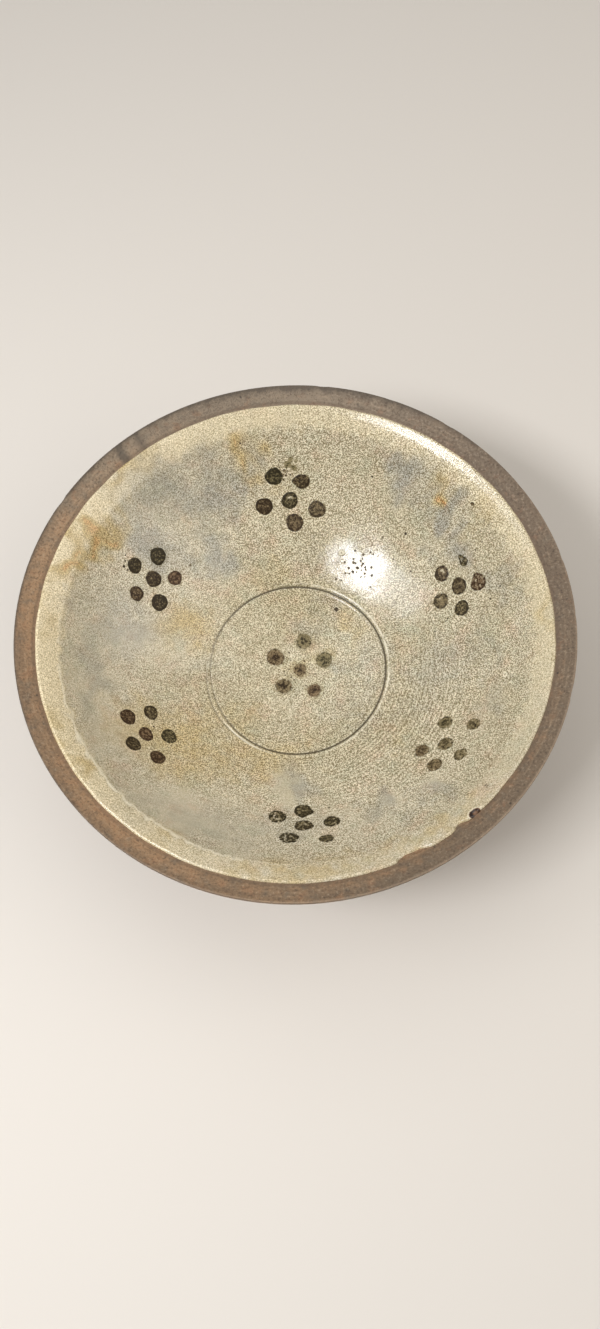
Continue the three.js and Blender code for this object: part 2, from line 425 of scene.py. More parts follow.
def stains(x, y, patches, seed):
    """The strongest of the patches at each point. A patch is a bell curve of its ellipse distance.
    Points and middles are first moved by one random ripple, so that the outline wanders and the
    patch stays put."""
    moved_x, moved_y = rippled(x, y, seed)
    place_x, place_y, *_ = np.transpose(patches)
    middles = np.transpose(rippled(place_x, place_y, seed))
    found = np.zeros_like(x)
    for middle, (_, _, half_length, half_width, degrees, strength) in zip(middles, patches):
        distance = ellipse_distance(
            moved_x - middle[0], moved_y - middle[1], half_length, half_width, degrees)
        found = np.maximum(found, strength * bump_at(distance, 0, 1))
    return found


def turning_strength(x, y):
    """Where the turning lines show: a broad arc on the near right, outside the incised ring."""
    radius = np.hypot(x, y)
    arc = towards(np.arctan2(y, x), *TURNED_SIDE)
    return arc * step_between(54, 60, radius) * step_between(108, 88, radius)


def surface_values(x, y):
    """What the glaze is like at each point, by name, from 0 to 1 or a little more. The glaze and the
    dabs both read it, so that a dab's thin edge fades into the glaze under it."""
    radius = np.hypot(x, y)
    theta = np.arctan2(y, x)
    grain = 0.5 + 0.5 * step_between(-105, 70, x - 0.25 * y)
    grain *= (1 - 0.25 * bump_at(radius, 0, 45))
    grain *= (1 + 0.6 * bump_at(x, 12, 42) * step_between(20, 60, y))
    grain *= (1 + 0.5 * bump_at(np.hypot(x - 62, y + 42), 0, 42))
    grain *= (1 - 0.85 * stains(x, y, SMOOTH, 51))

    ragged = ripple(x, y, 61, 6)
    lip = step_between(RIDGE_RADIUS - 6.5, RIDGE_RADIUS + 2.0, radius + 0.9 * ragged)
    lip_grain = 0.27 + 0.3 * towards(theta, 50, 32)
    # Painted light and shade on the lip: its pale colour is full on the left, much less on the near right,
    # and less on the far side and the right.
    lip_painted_light = (1 - 0.7 * towards(theta, 292, 58)) * (1 - 0.3 * towards(theta, 92, 55))
    lip_painted_light *= (1 - 0.2 * step_between(-80, 80, x))
    # A pale line along the ridge, a painted highlight where the ridge catches the light, strongest on the
    # near left.
    ridge = bump_at(radius + 0.54 * ragged, RIDGE_RADIUS - 0.9, 0.9)
    ridge *= (0.1 + 0.65 * towards(theta, 225, 48))

    groove = groove_radius(theta)
    filled = towards(theta, *FILLED_SIDE)
    doubled = towards(theta, *DOUBLED_SIDE)
    second_cut = 0.5 * doubled * bump_at(radius, groove + SECOND_CUT_AWAY * doubled, SECOND_CUT_WIDTH)
    # A pale line on the incised ring's outer lip is a painted highlight: stronger on the right, weaker where
    # glaze fills the ring, and a bright glint on the near left.
    painted_ring_glint = 0.3 + 0.3 * step_between(-20, 40, x) - 0.3 * filled + 0.8 * towards(theta, 231, 18)
    outer_lip = painted_ring_glint * bump_at(radius, groove + 1.7, 0.7)

    pit = pit_distance(x, y)
    # The burst's dark ring is the exposed body with painted shade in the pit, darkest on the lower-left
    # wall, which faces away from the light.
    around_pit = np.arctan2(y - PIT_PLACE[1], x - PIT_PLACE[0])
    crescent = 0.75 + 0.25 * np.cos(around_pit - math.radians(205))
    return {
        "ash": stains(x, y, ASH, 31),
        "ochre": stains(x, y, OCHRE, 41),
        "grain": grain + (lip_grain - grain) * lip,
        # Painted light: the wall value lightens the walls, fully on the left and near side and a third as
        # much on the right and far side.
        "wall": step_between(45, 112, radius) * (1 - 0.7 * step_between(-60, 90, x + 0.6 * y)),
        "turned": turning_strength(x, y),
        "lip": lip * lip_painted_light,
        # The pale value holds painted highlights on the ridge and the ring's outer lip, and the real pale
        # rim of the burst blister.
        "pale": np.clip(ridge + outer_lip + 0.6 * bump_at(pit, 1.3, 0.22), 0, 1),
        "groove": np.clip((1 - 0.6 * filled) * bump_at(radius, groove, 0.54) + second_cut, 0, 1),
        "burst": step_between(1.25, 1.0, pit) * (0.45 + 0.55 * bump_at(pit, 0.85, 0.42) * crescent),
    }


# -------------------- the iron dabs

# Hand-brushed dabs differ. size is the radius in millimetres; film is how thickly the iron covers;
# streak is how streaky it is; warm is 1 for red-brown and 0 for olive. Some also have: uphill, how
# much longer it is up the slope; tail, a drawn-out point, with its heading in plan; soft, how early
# it thins towards the edge; hollow, how thin it is in the middle; bare, how strong a pale crescent
# is on the side that bare_side heads to, a painted highlight where the dome would catch the light;
# and blister, a bubble of clear glaze.
PLAIN_DAB = dict(uphill=1, tail=0, heading=0, soft=0, hollow=0, bare=0, bare_side=0, blister=0)

# Each sprig's dabs, 1 to 5 and then the middle one: size, film, streak, warm and the rest.
DABS = {
    "far": [
        (4.9, 1.0, 0.15, 0.0, dict(tail=0.8, heading=178)),
        (4.9, 1.05, 0.25, 0.5, {}),
        (5.1, 0.78, 0.1, 0.5, {}),
        (5.0, 0.74, 0.15, 0.4, dict(hollow=0.15)),
        (4.7, 0.92, 0.4, 0.4, dict(uphill=0.88, tail=1.2, heading=175)),
        (4.8, 0.98, 0.25, 0.1, dict(hollow=0.15, bare=1.0, bare_side=88)),
    ],
    "left_far": [
        (4.4, 1.05, 0.3, 0.2, {}),
        (4.2, 0.92, 0.35, 0.6, {}),
        (4.9, 1.15, 0.3, 0.3, {}),
        (4.2, 0.82, 0.35, 0.9, {}),
        (4.9, 1.1, 0.25, 0.1, {}),
        (4.7, 1.0, 0.35, 0.4, {}),
    ],
    "left_near": [
        (4.5, 0.98, 0.3, 0.3, {}),
        (4.4, 0.9, 0.35, 0.8, {}),
        (4.5, 0.84, 0.4, 0.1, {}),
        (4.3, 0.88, 0.4, 0.3, {}),
        (4.7, 0.9, 0.35, 0.8, {}),
        (4.3, 0.84, 0.4, 0.9, {}),
    ],
    "near": [
        (3.8, 0.95, 0.7, 0.1, dict(soft=0.3)),
        (4.3, 0.98, 1.1, 0.1, {}),
        (4.5, 1.0, 0.9, 0.1, dict(uphill=1.1, tail=1.6, heading=-18)),
        (4.6, 0.9, 1.9, 0.1, dict(uphill=1.05, bare=0.9, bare_side=150)),
        (4.6, 1.1, 2.0, 0.1, dict(uphill=1.1, tail=1.0, heading=20, bare=0.9, bare_side=170)),
        (4.5, 1.0, 1.3, 0.2, dict(tail=0.8, heading=-22)),
    ],
    "right_near": [
        (3.8, 0.7, 0.8, 0.2, dict(uphill=1.25, soft=0.65)),
        (4.0, 0.74, 0.7, 0.1, dict(uphill=1.15, soft=0.55)),
        (4.2, 0.82, 0.6, 0.5, dict(uphill=1.15, soft=0.75)),
        (4.1, 0.45, 0.9, 0.4, dict(uphill=1.2, soft=0.3, hollow=0.4)),
        (3.8, 0.4, 1.1, 0.2, dict(uphill=1.15, soft=0.4, bare=0.3, bare_side=200)),
        (4.3, 0.7, 0.8, 0.2, dict(uphill=1.2, soft=0.65)),
    ],
    "right_far": [
        (2.7, 0.8, 1.1, 0.1, dict(tail=2.4, heading=118, soft=0.2, bare=1.0, bare_side=130)),
        (4.3, 0.85, 0.6, 0.5, dict(uphill=1.05, hollow=0.35, bare=0.9, bare_side=50)),
        (4.4, 0.68, 0.5, 0.3, dict(uphill=1.05, hollow=0.5, bare=0.6, bare_side=110)),
        (4.5, 0.84, 0.7, 0.2, dict(soft=0.1)),
        (4.7, 0.85, 1.7, 0.9, dict(uphill=1.05, tail=1.2, heading=100, soft=0.2)),
        (4.6, 0.78, 0.4, 0.4, dict(uphill=1.05)),
    ],
    "centre": [
        (5.1, 0.72, 0.5, 0.1, dict(soft=0.8)),
        (5.6, 0.85, 0.25, 0.55, dict(soft=0.75)),
        (5.2, 0.85, 0.4, 0.4, dict(soft=0.85)),
        (4.5, 0.8, 0.25, 0.7, dict(soft=0.85)),
        (5.2, 0.75, 0.4, 0.0, dict(soft=0.7)),
        (4.4, 0.75, 0.4, 0.5, dict(soft=0.9)),
    ],
}
DAB_HEIGHT = 0.3
DAB_SINK = 0.25
DAB_MARGIN = 1.4

# Splashes of iron thrown off the brush, and specks that burned through: place, radius, form.
SPLASH = dict(film=0.25, soft=0.5, streak=1.0, warm=0.0)
SPECK = dict(film=1.0, soft=0.1, streak=0.0, warm=0.5)
BLISTER = dict(film=1.2, streak=0.0, warm=0.4, blister=1.0)
SPLASHES = [
    (-0.4, 111.6, 2.2, SPLASH), (3.2, 110.2, 1.8, SPLASH), (1.6, 113.4, 1.7, SPLASH),
    (-2.6, 109.3, 0.8, SPECK), (-1.6, 107.2, 0.7, SPECK), (-3.2, 105.6, 0.5, SPECK),
    (4.6, 112.9, 1.0, SPLASH), (-94.6, 54.4, 0.6, SPECK), (-95.4, 51.4, 0.8, SPECK),
    (-93.6, 50.2, 0.5, SPECK), (-94.2, 57.4, 0.5, SPECK), (25.0, 37.6, 1.3, SPECK),
    (4.6, 8.0, 0.65, SPECK), (-80.0, -38.8, 0.6, SPECK), (101.0, 71.0, 0.8, SPECK),
    (48.4, 100.8, 0.6, SPECK), (108.5, 20.5, 0.6, SPECK), (90.0, -91.0, 0.6, SPECK),
    (-27.0, 118.6, 0.6, SPECK), (-60.0, 61.0, 0.6, SPECK), (14.0, -88.5, 0.5, SPECK),
    (110.7, -26.0, 1.5, BLISTER), (29.7, 68.5, 1.5, BLISTER), (53.8, 72.2, 0.7, SPECK),
    (66.7, 70.6, 0.8, SPECK), (69.0, 50.6, 0.5, SPECK), (59.4, 59.6, 0.6, SPECK),
    (25.7, 54.8, 0.6, SPECK), (45.7, 47.2, 0.6, SPECK), (113.3, 24.7, 0.6, SPECK),
    (101.5, 70.5, 0.9, SPECK),
]

# Clusters of small specks, strewn at random: how many, their middle, spread and radii.
SPECK_CLUSTERS = [
    (26, (42.0, 59.5), (7.0, 4.5), (0.4, 0.8)), (26, (-2.0, 0.0), (9.0, 9.0), (0.3, 0.5)),
    (14, (-3.0, 109.0), (3.0, 3.0), (0.3, 0.5)), (10, (95.0, 32.0), (9.0, 9.0), (0.3, 0.5)),
]


def dab_surface(x, y, form, seed):
    """One dab of iron on the glaze, and what its material reads. In its own polar coordinates
    (q, phi) about the dab's middle, the outline is a circle of the dab's size, drawn out uphill and
    given small random waves and a bell-shaped tail. The height is a dome (1 - q^2)^1.3 with a
    fuller rim where the brush load settled. Beyond q = 1 it goes on as a thin film on the glaze,
    then turns down into the glaze and closes underneath. Every point is carried to the sphere
    along the arc from the dab's middle."""
    form = dict(PLAIN_DAB, **form)
    rng = np.random.default_rng(seed)
    radius = math.hypot(x, y)
    middle = np.array([x, y, -math.sqrt(GLAZE_RADIUS**2 - radius**2)]) / GLAZE_RADIUS
    level = np.array([-y, x, 0]) / radius
    uphill = np.cross(level, middle)
    uphill *= np.sign(uphill[2])
    azimuth = math.atan2(y, x)

    columns = int(np.clip(form["size"] * 13, 16, 60))
    phi = np.linspace(0, TURN, columns, endpoint=False)
    heading = phi + azimuth
    outline = form["size"] / np.hypot(np.cos(phi) / form["uphill"], np.sin(phi))
    for waves, height in ((2, 0.03), (3, 0.03), (5, 0.018), (9, 0.01)):
        outline *= (1 + height * np.cos(waves * phi + rng.uniform(0, 6.3)))
    outline += form["tail"] * towards(heading, form["heading"], 24)
    rows = [np.linspace(0, 0.78, 12), np.linspace(0.84, 1.14, 9), np.linspace(1.2, DAB_MARGIN, 4)]
    q = np.outer(np.concatenate([*rows, [DAB_MARGIN, DAB_MARGIN / 2, 0]]), np.ones(columns))
    swelling = 1 + 0.3 * np.cos(phi - rng.uniform(0, 6.3)) * q
    dome = np.clip(1 - (q / 1.08) ** 2, 0, 1) ** 1.3 * swelling + 0.3 * bump_at(q, 0.8, 0.15)
    load = DAB_HEIGHT * min(1.0, form["size"] / 3) * form["film"] * (1 - 0.6 * form["soft"])
    height = 0.03 + load * dome * (1 - 0.5 * form["hollow"] * bump_at(q, 0, 0.5))
    height[-4] = 0.0
    height[-3:] = -DAB_SINK
    arc = (q * outline / GLAZE_RADIUS)[..., None]
    across = level * np.sin(phi)[:, None] + uphill * np.cos(phi)[:, None]
    direction = middle * np.cos(arc) + across * np.sin(arc)
    flat_x = GLAZE_RADIUS * direction[..., 0]
    flat_y = GLAZE_RADIUS * direction[..., 1]
    distance = GLAZE_RADIUS - height - surface_relief(flat_x, flat_y)
    grid = direction * distance[..., None] + [0, 0, CENTRE_HEIGHT]

    halo = 1 - 0.25 * form["soft"] * step_between(0.25, 0.8, q)
    fringe = 0.45 * form["soft"] * step_between(1.38, 1.0, q)
    cover = np.maximum(halo * step_between(1.1, 0.98 - 0.2 * form["soft"], q), fringe)
    thickness = form["film"] * (1 + form["soft"] * (0.45 - step_between(0.1, 0.65, q)))
    # The crescent is a painted highlight: the iron is thinned to pale glaze where the dab's dome would catch
    # the light.
    crescent = form["bare"] * bump_at(q, 0.4, 0.15) * towards(heading, form["bare_side"], 65)
    rim = 0.3 * (1 - form["soft"]) * bump_at(q, 0.88, 0.14)
    values = surface_values(flat_x, flat_y)
    values["cover"] = cover * (1 - form["blister"]) * (1 - 0.9 * crescent)
    values["film"] = thickness * (1 - form["hollow"] * bump_at(q, 0, 0.55)) - 0.8 * crescent + rim
    # The dab keeps the pale marks under it, painted highlight included, and adds its blister's real pale
    # ring.
    values["pale"] = np.maximum(values["pale"], form["blister"] * bump_at(q, 0.75, 0.3))
    values["streak"] = np.full_like(q, form["streak"])
    values["warm"] = np.full_like(q, form["warm"])
    return grid, values


def iron_dab(node, number):
    """The brushed dab that stands for one node of the frame, at the node's place."""
    low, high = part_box(node)
    place = np.array((low + high) / 2) / MM - [0, 0, CENTRE_HEIGHT]
    place *= GLAZE_RADIUS / np.linalg.norm(place)
    name = node.removeprefix("iron_dab_")
    sprig, _, which = name.rpartition("_")
    size, film, streak, warm, rest = DABS[sprig][-1 if which == "middle" else int(which) - 1]
    form = dict(size=size, film=film, streak=streak, warm=warm, **rest)
    grid, values = dab_surface(place[0], place[1], form, 100 + number)
    return closed_turns("brushed_dab_" + name, [grid], [values])


def iron_splashes():
    """The small splashes and specks, all in one piece."""
    rng = np.random.default_rng(7)
    strewn = [
        (*rng.normal(middle, spread), rng.uniform(*radii), SPECK)
        for count, middle, spread, radii in SPECK_CLUSTERS
        for _ in range(count)
    ]
    made = [
        dab_surface(x, y, dict(form, size=size), 200 + number)
        for number, (x, y, size, form) in enumerate(SPLASHES + strewn)
    ]
    return closed_turns("iron_splashes", *zip(*made))


# -------------------- the clay body

WALL_INSET = 0.25
THROWING_PITCH = 7.5
THROWING_HEIGHT = 0.17
COMBING_PITCH = 2.1
COMBING_HEIGHT = 0.03
TRIMMING_PITCH = 3.4
TRIMMING_HEIGHT = 0.14
NICK_DEPTH = 0.5

# Dark smudges on the rim band, far left: azimuth and half-width in degrees, strength.
SMUDGES = [(131.2, 1.5, 1.0), (126.0, 1.5, 0.8), (120.0, 1.0, 0.55), (113.0, 2.2, 0.3)]


def body_outline():
    """The clay's outline in section: the hidden inside, the lip and rim band, the upright edge, the
    outer wall, and the trimmed foot with its recess. Gives its points, how far along it each is, and
    where the outer wall starts and ends."""
    ridge_angle = math.asin(RIDGE_RADIUS / CLAY_RADIUS)
    inside = bowl_arc(CLAY_RADIUS, 0, ridge_angle, 22)
    wall_top_height = RIM_HEIGHT - 1.5 * RIM_EDGE_HEIGHT
    wall_top_angle = math.acos((CENTRE_HEIGHT - wall_top_height) / WALL_RADIUS)
    foot_top_angle = math.asin((FOOT_RADIUS + FOOT_DRAFT) / WALL_RADIUS)
    wall = bowl_arc(WALL_RADIUS, wall_top_angle, foot_top_angle, 84)
    lip = softened([inside[-1], (BAND_INNER, LIP_TOP_HEIGHT)], [], 1.6)
    rim_edge = [(RIM_RADIUS, RIM_HEIGHT), (RIM_RADIUS, RIM_HEIGHT - RIM_EDGE_HEIGHT)]
    rim = softened([lip[-1], *rim_edge, wall[0], wall[3]], [1.1, 1.4, 2.4], 0.52)
    foot_inner = FOOT_RADIUS - FOOT_WALL
    recess = [(foot_inner, 0), (foot_inner - FOOT_DRAFT, FOOT_RECESS), (0, FOOT_RECESS)]
    foot = softened([wall[-3], wall[-1], (FOOT_RADIUS, 0), *recess], [1.8, 1.1, 1.3, 2.2], 0.95)
    outline = np.concatenate([inside, lip[1:], rim[1:-1], wall[3:-3], foot])
    length = path_length(outline)
    return outline, length, length[len(inside) + len(lip) + len(rim)], length[-len(foot)]


def body_surface():
    """The clay body as a grid round the axis, and what its material reads. The outline is pushed
    along its normal by the throwing rings, which climb the wall as a one-start screw, by fine
    combing, by the trimming tool's spiral in the recess, by nicks in the rim's outer corner, and
    by slow unevenness."""
    columns = 360
    theta = np.linspace(0, TURN, columns, endpoint=False)
    outline, length, wall_start, wall_end = body_outline()
    length = length[:, None]
    radius, height = outline.T[..., None]
    out, up = section_normals(outline).T[..., None]
    underside = length > wall_end

    on_wall = step_between(0, 8, length - wall_start) * step_between(0, 8, wall_end - length)
    screw = theta + TURN * (length + 1.4 * drift(theta, length, 51, turns=3)) / THROWING_PITCH
    rings = np.sin(screw) * (0.6 + 0.4 * drift(theta, length, 52, turns=2, pitch=90))
    combing = np.sin(TURN * length / COMBING_PITCH + theta + drift(theta, length, 53))
    push = on_wall * (THROWING_HEIGHT * rings + COMBING_HEIGHT * combing - WALL_INSET)
    spiral = np.sin(TURN * radius / TRIMMING_PITCH - theta) * step_between(0, 4, radius)
    in_recess = underside * (radius < FOOT_RADIUS - FOOT_WALL)
    in_recess = in_recess * step_between(FOOT_RECESS - 2, FOOT_RECESS - 0.5, height)
    push += TRIMMING_HEIGHT * spiral * in_recess
    on_rim = step_between(RIDGE_RADIUS, BAND_INNER, radius) * step_between(80, 90, height)
    push -= on_rim * (0.16 + 0.05 * drift(theta, length, 54, turns=5, pitch=14))
    corner = bump_at(np.hypot(radius - RIM_RADIUS, height - RIM_HEIGHT), 0, 1.6)
    nicks = np.clip(drift(theta, 0, 55, waves=16, turns=60) - 1.5, 0, 1)
    push -= NICK_DEPTH * corner * nicks
    standing = bump_at(height, 0, 0.6) * underside
    push -= 0.12 * standing * np.clip(drift(theta, radius, 56, turns=7, pitch=9), 0, 1)
    pushed_radius = np.clip(radius + out * push, 0, RIM_RADIUS)
    pushed_height = np.clip(height + up * push, 0, RIM_HEIGHT)
    grid = np.stack([pushed_radius * np.cos(theta), pushed_radius * np.sin(theta), pushed_height], -1)

    on_band = step_between(BAND_INNER - 6, BAND_INNER, radius) * (height > RIM_HEIGHT - RIM_EDGE_HEIGHT)
    ragged = 0.15 * drift(theta, length, 57, turns=12, pitch=14)
    smudge = sum(strength * bump_at(turn_from(theta, azimuth) + ragged, 0, half_width)
                 for azimuth, half_width, strength in SMUDGES)
    # Painted light and shade on the rim's outer corner: lit_side is 1 on the near right and 0 on the far
    # left, and the corner is painted lighter on the lit side, a painted highlight, and darker on the other,
    # painted shade.
    lit_side = 0.5 + 0.5 * np.cos(theta - math.radians(-40))
    rim_outside = step_between(RIM_RADIUS - 7, RIM_RADIUS - 2, radius) * on_band
    flashed = 0.42 + 0.5 * np.cos(theta - math.radians(215)) - 0.4 * rim_outside
    charred = 1.3 * corner * (1 - lit_side) + 0.7 * rim_outside * towards(theta, 85, 40)
    values = {
        "flashed": flashed + 0.2 * drift(theta, length, 58, turns=6, pitch=30),
        "smudge": np.clip(smudge, 0, 1) * on_band,
        "worn": np.clip(corner * lit_side + 0.6 * bump_at(height, 0.4, 0.8) * underside, 0, 1),
        "charred": np.clip(charred, 0, 1),
        "bare_foot": step_between(21, 15, height) * (length > wall_start),
        # A dark line on the clay along the glaze's edge: painted shade in the crease under the edge.
        "seam": bump_at(radius, BAND_INNER + 0.6, 1.1) * on_band,
        "ashen": towards(theta, 105, 48),
    }
    return grid, {name: np.broadcast_to(value, grid.shape[:2]) for name, value in values.items()}


# -------------------- material helpers

RELIEF_DEPTH = 0.35


def colour(code):
    """Linear RGBA from an sRGB hex code."""
    parts = [int(code[k:k + 2], 16) / 255 for k in (1, 3, 5)]
    return (*[c / 12.92 if c <= 0.04045 else ((c + 0.055) / 1.055) ** 2.4 for c in parts], 1.0)


def add(tree, kind, inputs, output=0, **settings):
    """Adds a shader node, whose kind is given without its prefix. Makes its settings, gives each
    input a value or a link, and returns one of its outputs, if it has any. Sockets go by number
    where several share a name: a Map Range goes from the span 1 to 2 to the span 3 to 4, and a
    colour Mix has its share at 0, its base at 6, its cover at 7 and its result at output 2."""
    node = tree.nodes.new("ShaderNode" + kind)
    for name, value in settings.items():
        setattr(node, name, value)
    for key, value in inputs.items():
        if isinstance(value, bpy.types.NodeSocket):
            tree.links.new(value, node.inputs[key])
        else:
            node.inputs[key].default_value = value
    return node.outputs[output] if node.outputs else None


def per_mm(size):
    """A noise or cell scale, in cycles per metre, for features of this size in millimetres."""
    return 1 / (size * MM)


def new_material(name):
    """A material with no nodes but Object coordinates: itself, its node tree and those."""
    material = bpy.data.materials.new(name)
    material.use_nodes = True
    tree = material.node_tree
    tree.nodes.clear()
    return material, tree, add(tree, "TexCoord", {}, "Object")


def finish_material(tree, base, roughness, relief, strength, fixed):
    """The surface itself, with its relief as a bump and the inputs that are fixed."""
    bump = add(tree, "Bump", {"Height": relief, "Strength": strength, "Distance": RELIEF_DEPTH * MM})
    inputs = {"Base Color": base, "Roughness": roughness, "Normal": bump, **fixed}
    surface = add(tree, "BsdfPrincipled", inputs)
    add(tree, "OutputMaterial", {"Surface": surface})


def read_values(tree, names):
    """The numbers that a mesh keeps at its vertices, by name."""
    return {name: add(tree, "Attribute", {}, "Fac", attribute_name=name) for name in names.split()}


def layered(tree, base, layers):
    """Lays colours over a base. Each layer is a mask socket, the mask's values where the layer
    starts and is full, how much it then covers, and its colour, as a hex code or a socket."""
    for mask, start, full, amount, paint in layers:
        held = add(tree, "MapRange", {"Value": mask, 1: start, 2: full, 4: amount})
        over = colour(paint) if isinstance(paint, str) else paint
        base = add(tree, "Mix", {0: held, 6: base, 7: over}, 2, data_type="RGBA")
    return base


def axis_distance(tree, where):
    """The distance of a point from the dish's axis."""
    flat = add(tree, "VectorMath", {0: where, 1: (1, 1, 0)}, operation="MULTIPLY")
    return add(tree, "VectorMath", {0: flat}, "Value", operation="LENGTH")


def scattered_specks(tree, where, spacing, edge, core, tone):
    """A mask of round specks in random cells this far apart in millimetres. It is 0 at the edge and
    1 at the core, in shares of a cell, and a cell has a speck if its random tone is above this."""
    away = add(tree, "TexVoronoi", {"Vector": where, "Scale": per_mm(spacing)})
    spot = add(tree, "MapRange", {"Value": away, 1: edge, 2: core})
    chosen = add(tree, "Math", {0: away.node.outputs["Color"], 1: tone}, operation="GREATER_THAN")
    return add(tree, "Math", {0: spot, 1: chosen}, operation="MULTIPLY")


# -------------------- materials


def glaze_colour(tree, where):
    """The ash glaze's colour, relief, finest noise and pinholes. Cream glaze over buff clay is
    broken by grey-green where ash pooled and by ochre where iron bled through. A pepper-fine grain
    of undissolved ash, under 1 mm across, covers all of it, with pinholes here and there. Light and
    shade are painted in too: the walls are lighter on the left and near side, the lip is lighter on
    the left than on the near right and far side, the ridge and the incised ring's outer lip carry
    pale lines of painted highlight, and the burst blister is darkened by painted shade."""
    kept = read_values(tree, "ash ochre grain wall turned lip pale groove burst")
    broad, patch, tinge, fine = [
        add(tree, "TexNoise", {"Vector": where, "Scale": per_mm(size), "Detail": detail, "Roughness": rough})
        for size, detail, rough in ((34, 4, 0.6), (6, 5, 0.65), (14, 3, 0.6), (0.66, 1, 0.5))
    ]
    breaking = add(tree, "Math", {0: patch, 1: 0.5}, operation="SUBTRACT")
    broken = {
        name: add(tree, "Math", {0: breaking, 1: amount, 2: kept[name]}, operation="MULTIPLY_ADD")
        for name, amount in (("ash", 1.0), ("ochre", 1.2), ("lip", 0.6), ("pale", 1.2))
    }
    base = layered(tree, colour("#cac0a6"), [
        (broad, 0.35, 0.65, 1, "#bdb294"),
        # Painted light: the walls lightened, most on the left and near side.
        (kept["wall"], 0, 1, 0.75, "#d6cdb8"),
        (tinge, 0.54, 0.7, 0.36, "#c8a88c"),
        (tinge, 0.46, 0.3, 0.36, "#adb199"),
        (broken["lip"], 0.3, 0.9, 0.9, "#e6d7b4"),
        (broken["ochre"], 0.1, 0.9, 0.8, "#c2ab76"),
        (broken["ochre"], 1.1, 1.7, 0.85, "#cf9859"),
        (broken["ash"], 0.1, 0.9, 0.8, "#9e9c92"),
    ])

    radius = axis_distance(tree, where)
    phase = add(tree, "Math", {0: broad, 1: 9.0}, operation="MULTIPLY")
    rate = TURN * per_mm(TURNING_PITCH)
    turns = add(tree, "Math", {0: radius, 1: rate, 2: phase}, operation="MULTIPLY_ADD")
    wave = add(tree, "Math", {0: turns}, operation="SINE")
    lines = add(tree, "Math", {0: wave, 1: kept["turned"]}, operation="MULTIPLY")
    grain = add(tree, "Math", {0: fine, 1: 0.52}, operation="SUBTRACT")
    grain = add(tree, "Math", {0: lines, 1: 0.04, 2: grain}, operation="MULTIPLY_ADD")
    grain = add(tree, "Math", {0: grain, 1: kept["grain"]}, operation="MULTIPLY")
    grain = add(tree, "Math", {0: grain, 1: 7.0, 2: 0.53}, operation="MULTIPLY_ADD", use_clamp=True)
    shade = layered(tree, colour("#958e7c"), [(grain, 0, 1, 1, "#ffffff")])
    base = add(tree, "Mix", {0: 1.0, 6: base, 7: shade}, 2, data_type="RGBA", blend_type="MULTIPLY")
    base = add(tree, "HueSaturation", {"Value": 1.33, "Color": base})

    pinholes = scattered_specks(tree, where, 3.2, 0.2, 0.1, 0.62)
    rusty = add(tree, "Math", {0: pinholes, 1: kept["grain"]}, operation="MULTIPLY")
    base = layered(tree, base, [
        (rusty, 0, 1, 0.8, "#5f4c31"),
        # Pale glaze: painted highlight on the ridge and the ring's outer lip, and real pale rims of the
        # blisters.
        (broken["pale"], 0.25, 0.8, 0.8, "#ece3ca"),
        (kept["groove"], 0.05, 0.8, 0.92, "#413722"),
        (kept["burst"], 0.15, 0.45, 0.95, "#6d4a30"),
        # Near black: the exposed body in the pit, darkened by painted shade.
        (kept["burst"], 0.5, 0.75, 0.95, "#1f120c"),
    ])
    relief = add(tree, "Math", {0: pinholes, 1: -1.0, 2: breaking}, operation="MULTIPLY_ADD")
    coarse = add(tree, "Math", {0: kept["lip"], 1: 0.36, 2: 0.14}, operation="MULTIPLY_ADD")
    relief = add(tree, "Math", {0: grain, 1: coarse, 2: relief}, operation="MULTIPLY_ADD")
    return base, relief, fine, pinholes


def ash_glaze_material():
    """Ash glaze on stoneware, poured and wood fired: glossy glass with a fine unevenness, a little
    more satin on the lip, and full of pinholes."""
    material, tree, where = new_material("poured_ash_glaze")
    base, relief, fine, pinholes = glaze_colour(tree, where)
    roughness = add(tree, "MapRange", {"Value": fine, 1: 0.35, 2: 0.65, 3: 0.13, 4: 0.07})
    for mask, rougher in ((read_values(tree, "lip")["lip"], 0.07), (pinholes, 0.6)):
        roughness = add(tree, "Math", {0: mask, 1: rougher, 2: roughness}, operation="MULTIPLY_ADD")
    finish_material(tree, base, roughness, relief, 0.25, {"IOR": 1.52})
    return material


